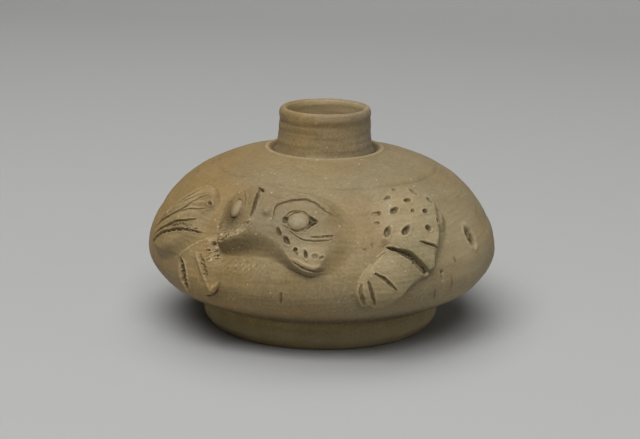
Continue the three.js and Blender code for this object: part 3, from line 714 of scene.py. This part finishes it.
def work_body(clay):
    """The scratched shoulder ring, the scar and the small marks of the flank."""
    around, up = clay.across, clay.up
    clay.proud += thrown(around, up)
    ring_up = RING_UP - RING_SLANT * np.sin(around / BELLY_RADIUS) + 0.3 * ripple(around, around * 0, 60, 24)
    strength = 0.6 + 0.4 * ripple(around, around * 0, 25, 25)
    scratch = bell(up - ring_up, 0.42) * np.clip(strength, 0.15, 1)
    clay.proud -= 0.22 * scratch
    clay.pool = np.maximum(clay.pool, 0.5 * scratch)
    clay.pit(*SCAR, 6.4, 4.2, 98, 0.8, burr=0.2)
    clay.pit(SCAR[0] + 0.6, SCAR[1] - 1.6, 3.2, 2.2, 100, 0.5, burr=0.0)
    clay.bleach(62, 1, 13, 16, 20, amount=0.6)
    clay.crumble(SCAR[0] + 0.3, SCAR[1] - 0.4, 3.2, 1.0, 98, amount=0.25)
    clay.crumble(-9, 5, 7, 2.5, 10, amount=0.05)
    clay.crumble(-22, 9, 3, 3, 0, amount=0.07)
    near_scar = bell(np.hypot((around - SCAR[0]) / 2, (up - SCAR[1]) / 3), 1)
    clay.proud += 0.22 * near_scar * ripple(around, up, 1.3, 26)
    for path, width, depth in FLANK_MARKS:
        clay.cut(path, 1.15 * width, 1.5 * depth, burr=0.1)


# Small cuts and scratches on the bare belly: paths round the belly line from the front and up the wall
FLANK_MARKS = [
    ([(2.5, -0.7), (2.4, -2.9), (2.1, -5.0)], 0.7, 0.35),
    ([(48.5, 2.7), (48.6, 1.9)], 1.2, 0.7),
    ([(48.6, 1.8), (48.6, 0.0)], 0.7, 0.25),
    ([(51.9, 1.1), (52.9, -1.6), (53.2, -4.4)], 0.5, 0.25),
    ([(46.6, -2.5), (47.8, -6.8)], 0.5, 0.25),
    ([(53.8, 5.4), (54.6, 3.7)], 0.7, 0.3),
    ([(27.6, 12.4), (28.2, 11.6)], 0.9, 0.5),
    ([(24.4, 11.4), (25.6, 10.8), (26.0, 10.0)], 0.5, 0.3),
    ([(80.0, -6.0), (83.5, -8.7)], 1.2, 0.5),
]


def jar_body_mesh():
    mesh = turned("jar_body", body_profile(), BODY_ARCS)
    points = mesh_points(mesh)
    radius = np.hypot(points[:, 0], points[:, 1])
    turn = np.arctan2(points[:, 0], -points[:, 1])
    height = points[:, 2]
    up = up_of_height(height)
    is_wall = (np.abs(radius - wall_at(up)[0]) < 0.02) & (height > BASE_HEIGHT + 0.4)
    is_wall &= radius > SHOULDER_RADIUS - 0.1
    clay = Clay(turn * BELLY_RADIUS, up)
    work_body(clay)
    fade = is_wall * ease((SHOULDER_TOP - up) / 3)
    worked = on_wall(turn, up, clay.proud * fade)
    set_points(mesh, np.where(is_wall[:, None], worked, leaned(points)))
    on_curb = height > CURB_FROM
    # Painted shade in the trough round the neck's seat
    trough_shade = bell(radius - TROUGH_RADIUS, 0.8) * on_curb
    # Painted shade: the belly's underside darkens towards the foot, below 14.8 mm
    underside_shade = ease((14.8 - height) / 3.8) * is_wall
    # The curb's crest is painted lighter in the worn and pale masks: painted highlight together with thin glaze there
    crest_highlight = bell(radius - CURB_CREST - 0.1, 0.3) * on_curb
    set_mask(mesh, "pool", np.maximum(clay.pool * fade, 1.1 * np.maximum(trough_shade, underside_shade)))
    set_mask(mesh, "worn_and_highlight", np.maximum(clay.worn_and_highlight * fade, 0.5 * crest_highlight))
    set_mask(mesh, "pale", np.maximum(clay.pale * fade, 0.25 * bell(radius - CURB_CREST, 0.6) * on_curb))
    return mesh


def wobble(mesh, amount, seed):
    """Sets a turned piece a little out of true, as hand throwing leaves it."""
    points = mesh_points(mesh)
    radius = np.hypot(points[:, 0], points[:, 1])
    turn = np.arctan2(points[:, 0], -points[:, 1])
    uneven = ripple(points[:, 2], 4 * np.sin(turn), 3.2, seed)
    uneven = uneven + ripple(6 * np.cos(turn), 6 * np.sin(turn), 5, seed + 1)
    scale = 1 + amount * uneven / np.maximum(radius, 8) * (radius > 8)
    points[:, 0] *= scale
    points[:, 1] *= scale
    set_points(mesh, leaned(points))
    return radius, points[:, 2]


def neck_mesh():
    outer = rounded([
        (14.4, NECK_SEAT), (14.35, 49.55), (14.1, 49.9), (13.85, 50.4), (13.65, 51.1), (13.5, 52.2), (13.35, 53.7),
        (13.2, 55.4), (13.15, 56.8), (13.1, 57.7), (13.0, LIP_GROOVE), (13.05, 59.1), (13.15, 59.9), (13.1, 60.7),
        (12.85, 61.4), (12.4, 61.85), (11.9, LIP_TOP), (11.4, 61.8), (11.0, 61.3), (10.8, 60.5), (10.8, 58.8),
        (10.95, 56.4), (11.05, 53.0), (11.05, NECK_SEAT),
    ], 5)
    mesh = turned("neck_collar", outer, [(0, 2 * math.pi, 260)])
    radius, height = wobble(mesh, 0.07, 31)
    is_outside = radius > 12
    groove = bell(height - LIP_GROOVE, 0.5) * is_outside
    # Painted shade at the neck's seat, where it stands in the trough
    foot = bell(height - NECK_SEAT - 0.1, 1.0) * is_outside
    set_mask(mesh, "pool", np.maximum(0.45 * groove, 0.8 * foot) + 0.3 * ease((height - LIP_TOP + 1.4) / 0.8))
    set_mask(mesh, "worn_and_highlight", 0.15 * bell(height - LIP_TOP + 0.1, 0.5))
    set_mask(mesh, "pale", 0.6 * (radius < 11.3) * ease((height - 54) / 3))
    return mesh


def foot_mesh():
    outer = [(0.0, 0.0), (10.0, 0.0), (20.0, 0.0), (32.0, 0.0)] + rounded([
        (32.3, 0.0), (32.7, 0.3), (33.2, 1.1), (33.7, 2.0), (33.95, 2.6), (34.05, 3.4), (34.1, 5.0), (34.15, 6.6),
        (34.4, 7.7), (35.0, 8.6), (36.2, 9.3), (37.6, 9.9),
    ], 6) + [(36.6, 10.4), (30.0, 9.6), (15.0, 9.6), (0.0, 9.6)]
    mesh = turned("foot_disc", outer, [(0, 2 * math.pi, 300)])
    points = mesh_points(mesh)
    radius, height = wobble(mesh, 0.06, 41)
    around = FOOT_RADIUS * np.arctan2(points[:, 0], -points[:, 1])
    rubbed = np.clip(0.6 + ripple(around, height, 6, 43), 0, 2)
    # Painted shadow of the belly across the top of the foot
    set_mask(mesh, "pool", 0.9 * bell(height - 9.2, 1.9) * (radius > FOOT_RADIUS - 1))
    set_mask(mesh, "worn_and_highlight", 1.2 * bell(height - 2.9, 0.9) * (radius > FOOT_RADIUS - 5) * rubbed)
    set_mask(mesh, "pale", 0.8 * ease((6.2 - height) / 2.8) * (radius > FOOT_RADIUS - 3))
    return mesh


# Finishes, with colours as they look on a screen, 0 to 255

# Dark colour for pooled glaze and painted shade; thin colour for thin glaze and painted highlights
POOLED_GLAZE_AND_SHADE = (54, 43, 25)
THIN_GLAZE_AND_HIGHLIGHT = (178, 160, 124)
QUARTZ = (200, 190, 160)
IRON = (70, 56, 36)
RUST = (132, 100, 54)
SHEET = (150, 150, 149)


def group(name, inputs, outputs):
    tree = bpy.data.node_groups.new(name, "ShaderNodeTree")
    for label, kind, value in inputs:
        socket = tree.interface.new_socket(label, in_out="INPUT", socket_type=kind)
        if value is not None:
            socket.default_value = value
    for label, kind in outputs:
        tree.interface.new_socket(label, in_out="OUTPUT", socket_type=kind)
    return tree, tree.nodes.new("NodeGroupInput"), tree.nodes.new("NodeGroupOutput")


def add(tree, kind, **settings):
    node = tree.nodes.new(kind)
    for key, value in settings.items():
        setattr(node, key, value)
    return node


def noise(tree, vector, scale, detail, rough=0.55):
    node = add(tree, "ShaderNodeTexNoise")
    node.inputs["Scale"].default_value = scale
    node.inputs["Detail"].default_value = detail
    node.inputs["Roughness"].default_value = rough
    tree.links.new(vector, node.inputs["Vector"])
    return node.outputs["Fac"]


def remap(tree, value, low, high, to_low=0.0, to_high=1.0):
    node = add(tree, "ShaderNodeMapRange", clamp=True)
    for label, number in (("From Min", low), ("From Max", high), ("To Min", to_low), ("To Max", to_high)):
        node.inputs[label].default_value = number
    tree.links.new(value, node.inputs["Value"])
    return node.outputs["Result"]


def maths(tree, operation, first, second):
    node = add(tree, "ShaderNodeMath", operation=operation)
    for socket, value in zip(node.inputs, (first, second)):
        if isinstance(value, (int, float)):
            socket.default_value = value
        else:
            tree.links.new(value, socket)
    return node.outputs["Value"]


def mix(tree, factor, first, second, blend="MIX"):
    node = add(tree, "ShaderNodeMix", data_type="RGBA", blend_type=blend)
    for socket, value in ((node.inputs["Factor"], factor), (node.inputs["A"], first), (node.inputs["B"], second)):
        if isinstance(value, (int, float, tuple)):
            socket.default_value = value
        else:
            tree.links.new(value, socket)
    return node.outputs["Result"]


def pot_space(tree):
    """Object coordinates in millimetres."""
    place = add(tree, "ShaderNodeTexCoord")
    scale = add(tree, "ShaderNodeVectorMath", operation="SCALE")
    scale.inputs["Scale"].default_value = 1 / MM
    tree.links.new(place.outputs["Object"], scale.inputs[0])
    return scale.outputs["Vector"]


def srgb(red, green, blue):
    def linear(value):
        value /= 255
        return value / 12.92 if value <= 0.04045 else ((value + 0.055) / 1.055) ** 2.4

    return (linear(red), linear(green), linear(blue), 1.0)


def kiln_tone_group():
    """Ash glaze: warm brown where the fire was strong, olive grey on the other side, lighter low on the belly and
    darker towards the shoulder.
    """
    tree, given, out = group(
        "kiln_tone",
        [("Warm", "NodeSocketColor", None), ("Cool", "NodeSocketColor", None), ("Dark", "NodeSocketColor", None)],
        [("Color", "NodeSocketColor")],
    )
    space = pot_space(tree)
    split = add(tree, "ShaderNodeSeparateXYZ")
    tree.links.new(space, split.inputs["Vector"])
    side = remap(tree, split.outputs["X"], -45, 40)
    shift = remap(tree, noise(tree, space, 0.045, 3.0), 0.3, 0.7, -0.35, 0.35)
    cool = remap(tree, maths(tree, "ADD", side, shift), 0.0, 1.0)
    color = mix(tree, cool, given.outputs["Warm"], given.outputs["Cool"])
    blotch = remap(tree, noise(tree, space, 0.16, 5.0, 0.6), 0.42, 0.72, 0.0, 0.3)
    color = mix(tree, blotch, color, given.outputs["Dark"])
    rust = remap(tree, noise(tree, space, 0.06, 2.0), 0.5, 0.68, 0.0, 0.22)
    color = mix(tree, rust, color, srgb(*RUST))
    lighter_low = remap(tree, split.outputs["Z"], 10, 22, 1.5, 1.08)
    darker_high = remap(tree, split.outputs["Z"], 22, 47, 1.0, 0.75)
    fine = remap(tree, noise(tree, space, 1.2, 6.0, 0.75), 0.3, 0.7, 0.75, 1.23)
    depth = maths(tree, "MULTIPLY", fine, maths(tree, "MULTIPLY", lighter_low, darker_high))
    shade = add(tree, "ShaderNodeCombineColor")
    for socket in shade.inputs:
        tree.links.new(depth, socket)
    tree.links.new(mix(tree, 1.0, color, shade.outputs["Color"], "MULTIPLY"), out.inputs["Color"])
    return tree


def speck_group():
    """Pale quartz grains and dark iron specks scattered through the clay."""
    tree, given, out = group(
        "clay_specks",
        [("Color", "NodeSocketColor", None), ("Pale", "NodeSocketColor", None), ("Iron", "NodeSocketColor", None),
         ("Amount", "NodeSocketFloat", 1.0)],
        [("Color", "NodeSocketColor")],
    )
    space = pot_space(tree)
    masks = []
    for scale, size, keep in ((0.62, 0.16, 0.72), (0.8, 0.17, 0.6)):
        cells = add(tree, "ShaderNodeTexVoronoi", feature="F1")
        cells.inputs["Scale"].default_value = scale
        tree.links.new(space, cells.inputs["Vector"])
        dot = remap(tree, cells.outputs["Distance"], size, size * 0.5)
        chosen = add(tree, "ShaderNodeSeparateColor")
        tree.links.new(cells.outputs["Color"], chosen.inputs["Color"])
        masks.append(maths(tree, "MULTIPLY", dot, remap(tree, chosen.outputs["Red"], keep, keep + 0.05)))
    color = given.outputs["Color"]
    for mask, strength, speck in zip(masks, (0.6, 0.65), ("Pale", "Iron")):
        share = maths(tree, "MULTIPLY", maths(tree, "MULTIPLY", mask, given.outputs["Amount"]), strength)
        color = mix(tree, share, color, given.outputs[speck])
    tree.links.new(color, out.inputs["Color"])
    return tree


def pool_shade_highlight_group():
    """Glaze lies dark in cuts and pits, and thin and pale on edges that stand out; the dark mask also lays painted
    shade, and the light masks painted highlights.
    """
    tree, given, out = group(
        "glaze_pool_shade_highlight",
        [("Color", "NodeSocketColor", None), ("Pooled", "NodeSocketColor", None), ("Thin", "NodeSocketColor", None)],
        [("Color", "NodeSocketColor")],
    )
    space = pot_space(tree)
    pool, worn_and_highlight, pale = (
        add(tree, "ShaderNodeAttribute", attribute_name=name).outputs["Fac"] for name in ("pool", "worn_and_highlight", "pale")
    )
    gritty = remap(tree, noise(tree, space, 1.6, 4.0, 0.7), 0.35, 0.6, 0.35, 1.0)
    rubbed = remap(tree, noise(tree, space, 1.1, 4.0, 0.7), 0.4, 0.6)
    color = mix(tree, maths(tree, "MULTIPLY", pale, 0.6), given.outputs["Color"], given.outputs["Thin"])
    for mask, uneven, strength, tone in ((worn_and_highlight, rubbed, 0.5, "Thin"), (pool, gritty, 0.85, "Pooled")):
        share = maths(tree, "MULTIPLY", maths(tree, "MULTIPLY", mask, uneven), strength)
        color = mix(tree, maths(tree, "MINIMUM", share, 1.0), color, given.outputs[tone])
    tree.links.new(color, out.inputs["Color"])
    return tree


def grit_group():
    """The height of fine grit and of the wheel's wiping lines, for bumps."""
    tree, given, out = group("clay_grit", [("Wiping", "NodeSocketFloat", 0.3)], [("Height", "NodeSocketFloat")])
    space = pot_space(tree)
    grit = noise(tree, space, 1.4, 8.0, 0.72)
    stretch = add(tree, "ShaderNodeVectorMath", operation="MULTIPLY")
    stretch.inputs[1].default_value = (0.03, 0.03, 1.1)
    tree.links.new(space, stretch.inputs[0])
    wiping = maths(tree, "MULTIPLY", noise(tree, stretch.outputs["Vector"], 1.0, 4.0, 0.6), given.outputs["Wiping"])
    tree.links.new(maths(tree, "ADD", grit, wiping), out.inputs["Height"])
    return tree


GROUPS = {"tone": kiln_tone_group(), "specks": speck_group(), "pool_shade_highlight": pool_shade_highlight_group(), "grit": grit_group()}


def placed(tree, name, **settings):
    """A shader node group placed in a material with its own values."""
    node = add(tree, "ShaderNodeGroup", node_tree=GROUPS[name])
    for label, value in settings.items():
        node.inputs[label].default_value = value
    return node


def glaze(name, warm, cool, dark, roughness, wiping, specks):
    """A satin ash glaze over speckled stoneware."""
    material = bpy.data.materials.new(name)
    material.use_nodes = True
    tree = material.node_tree
    shader = tree.nodes["Principled BSDF"]
    tone = placed(tree, "tone", Warm=srgb(*warm), Cool=srgb(*cool), Dark=srgb(*dark))
    speck = placed(tree, "specks", Pale=srgb(*QUARTZ), Iron=srgb(*IRON), Amount=specks)
    pool_shade_highlight = placed(tree, "pool_shade_highlight", Pooled=srgb(*POOLED_GLAZE_AND_SHADE), Thin=srgb(*THIN_GLAZE_AND_HIGHLIGHT))
    tree.links.new(tone.outputs["Color"], speck.inputs["Color"])
    tree.links.new(speck.outputs["Color"], pool_shade_highlight.inputs["Color"])
    tree.links.new(pool_shade_highlight.outputs["Color"], shader.inputs["Base Color"])
    uneven = noise(tree, pot_space(tree), 0.5, 4.0, 0.6)
    tree.links.new(remap(tree, uneven, 0.3, 0.7, roughness - 0.07, roughness + 0.09), shader.inputs["Roughness"])
    shader.inputs["Specular IOR Level"].default_value = 0.3
    grit = placed(tree, "grit", Wiping=wiping)
    bump = add(tree, "ShaderNodeBump")
    bump.inputs["Strength"].default_value = 0.6
    bump.inputs["Distance"].default_value = 0.18 * MM
    tree.links.new(grit.outputs["Height"], bump.inputs["Height"])
    tree.links.new(bump.outputs["Normal"], shader.inputs["Normal"])
    return material


# Each slot's glaze: name, colours where it is warm, cool and dark, roughness, wiping lines and specks
GLAZES = {
    "body_glaze": ("olive_body_glaze", (132, 108, 64), (129, 116, 86), (98, 82, 50), 0.58, 0.5, 1.0),
    "neck_glaze": ("brown_neck_glaze", (148, 122, 70), (148, 134, 108), (98, 82, 50), 0.56, 0.9, 1.0),
    "foot_clay": ("dull_foot_clay", (138, 119, 70), (134, 121, 88), (80, 66, 38), 0.65, 0.9, 1.0),
    "relief_glaze": ("olive_relief_glaze", (132, 108, 65), (130, 118, 88), (98, 82, 50), 0.58, 0.25, 1.0),
    "eye_glaze": ("smooth_eye_glaze", (132, 112, 74), (130, 119, 92), (100, 84, 54), 0.5, 0.0, 0.5),
}


# Dressing the frame


def dress(mesh, node, slot, finishes):
    piece = new_object(mesh)
    piece.name = node + "_clay"
    mesh.materials.append(finishes[slot])
    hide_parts(node)
    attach(piece, "root")


def make_jar():
    finishes = {slot: glaze(*settings) for slot, settings in GLAZES.items()}
    dress(jar_body_mesh(), "jar_body", "body_glaze", finishes)
    dress(neck_mesh(), "neck_collar", "neck_glaze", finishes)
    dress(foot_mesh(), "foot_disc", "foot_clay", finishes)
    for node, turn, up, shape, rings, sides in pads():
        dress(pad_mesh(node, turn, up, shape, rings, sides), node, "relief_glaze", finishes)
    dress(eye_mesh("eye_right", RIGHT_EYE, RIGHT_EYE_RADII, 0.85, 3.15), "eye_right", "eye_glaze", finishes)
    dress(eye_mesh("eye_left", LEFT_EYE, LEFT_EYE_RADII, 0.9, 3.2), "eye_left", "eye_glaze", finishes)


# The studio


def make_floor():
    """A pale sheet that lies flat under the jar and curves up behind it."""
    bm = bmesh.new()
    front, depth, bend, rise, width, steps = -0.9, 0.55, 0.5, 1.6, 2.4, 12
    profile = [(front, 0.0), (depth, 0.0)]
    for i in range(1, steps + 1):
        angle = math.pi / 2 * i / steps
        profile.append((depth + bend * math.sin(angle), bend * (1 - math.cos(angle))))
    profile.append((depth + bend, rise))
    verts = [bm.verts.new((-width, y, z)) for y, z in profile]
    edges = [bm.edges.new(pair) for pair in zip(verts, verts[1:])]
    made = bmesh.ops.extrude_edge_only(bm, edges=edges)["geom"]
    moved = [part for part in made if isinstance(part, bmesh.types.BMVert)]
    bmesh.ops.translate(bm, verts=moved, vec=(2 * width, 0, 0))
    bmesh.ops.recalc_face_normals(bm, faces=bm.faces)
    mesh = bpy.data.meshes.new("studio_sheet")
    bm.to_mesh(mesh)
    bm.free()
    mesh.shade_smooth()
    sheet = bpy.data.materials.new("pale_sheet")
    sheet.use_nodes = True
    shader = sheet.node_tree.nodes["Principled BSDF"]
    for label, value in (("Base Color", srgb(*SHEET)), ("Roughness", 0.8), ("Specular IOR Level", 0.1)):
        shader.inputs[label].default_value = value
    mesh.materials.append(sheet)
    floor = new_object(mesh)


def make_camera():
    turn = math.radians(CAMERA_TURN)
    across = Vector((math.cos(turn), math.sin(turn), 0))
    place = Vector((math.sin(turn) * CAMERA_DISTANCE, -math.cos(turn) * CAMERA_DISTANCE, CAMERA_HEIGHT))
    aim = Vector((0, 0, AIM_HEIGHT)) - across * AIM_LEFT
    data = bpy.data.cameras.new("camera")
    data.lens = CAMERA_LENS
    data.sensor_width = 36
    camera = bpy.data.objects.new("camera", data)
    camera.location = place
    camera.rotation_mode = "QUATERNION"
    look = (aim - place).to_track_quat("-Z", "Y")
    camera.rotation_quaternion = look @ Quaternion((0, 0, 1), CAMERA_ROLL)
    bpy.context.collection.objects.link(camera)
    bpy.context.scene.camera = camera


def soft_box(name, place, size, power):
    data = bpy.data.lights.new(name, "AREA")
    data.shape = "RECTANGLE"
    data.size, data.size_y = size
    data.energy = power
    lamp = bpy.data.objects.new(name, data)
    lamp.location = place
    lamp.rotation_mode = "QUATERNION"
    lamp.rotation_quaternion = (LAMP_AIM - Vector(place)).to_track_quat("-Z", "Y")
    bpy.context.collection.objects.link(lamp)


def make_light():
    soft_box("overhead_box", (-0.15, 0.05, 1.1), (1.4, 0.9), 10.8)
    soft_box("front_box", (0.07, -0.72, 1.08), (1.2, 0.6), 18.0)
    soft_box("side_box", (1.0, -0.1, 0.5), (0.5, 0.5), 0.9)
    world = bpy.data.worlds.new("studio")
    world.use_nodes = True
    background = world.node_tree.nodes["Background"]
    background.inputs["Color"].default_value = (1, 1, 1, 1)
    background.inputs["Strength"].default_value = 0.04
    bpy.context.scene.world = world
    bpy.context.scene.view_settings.view_transform = "Standard"


make_camera()
make_jar()
make_floor()
make_light()
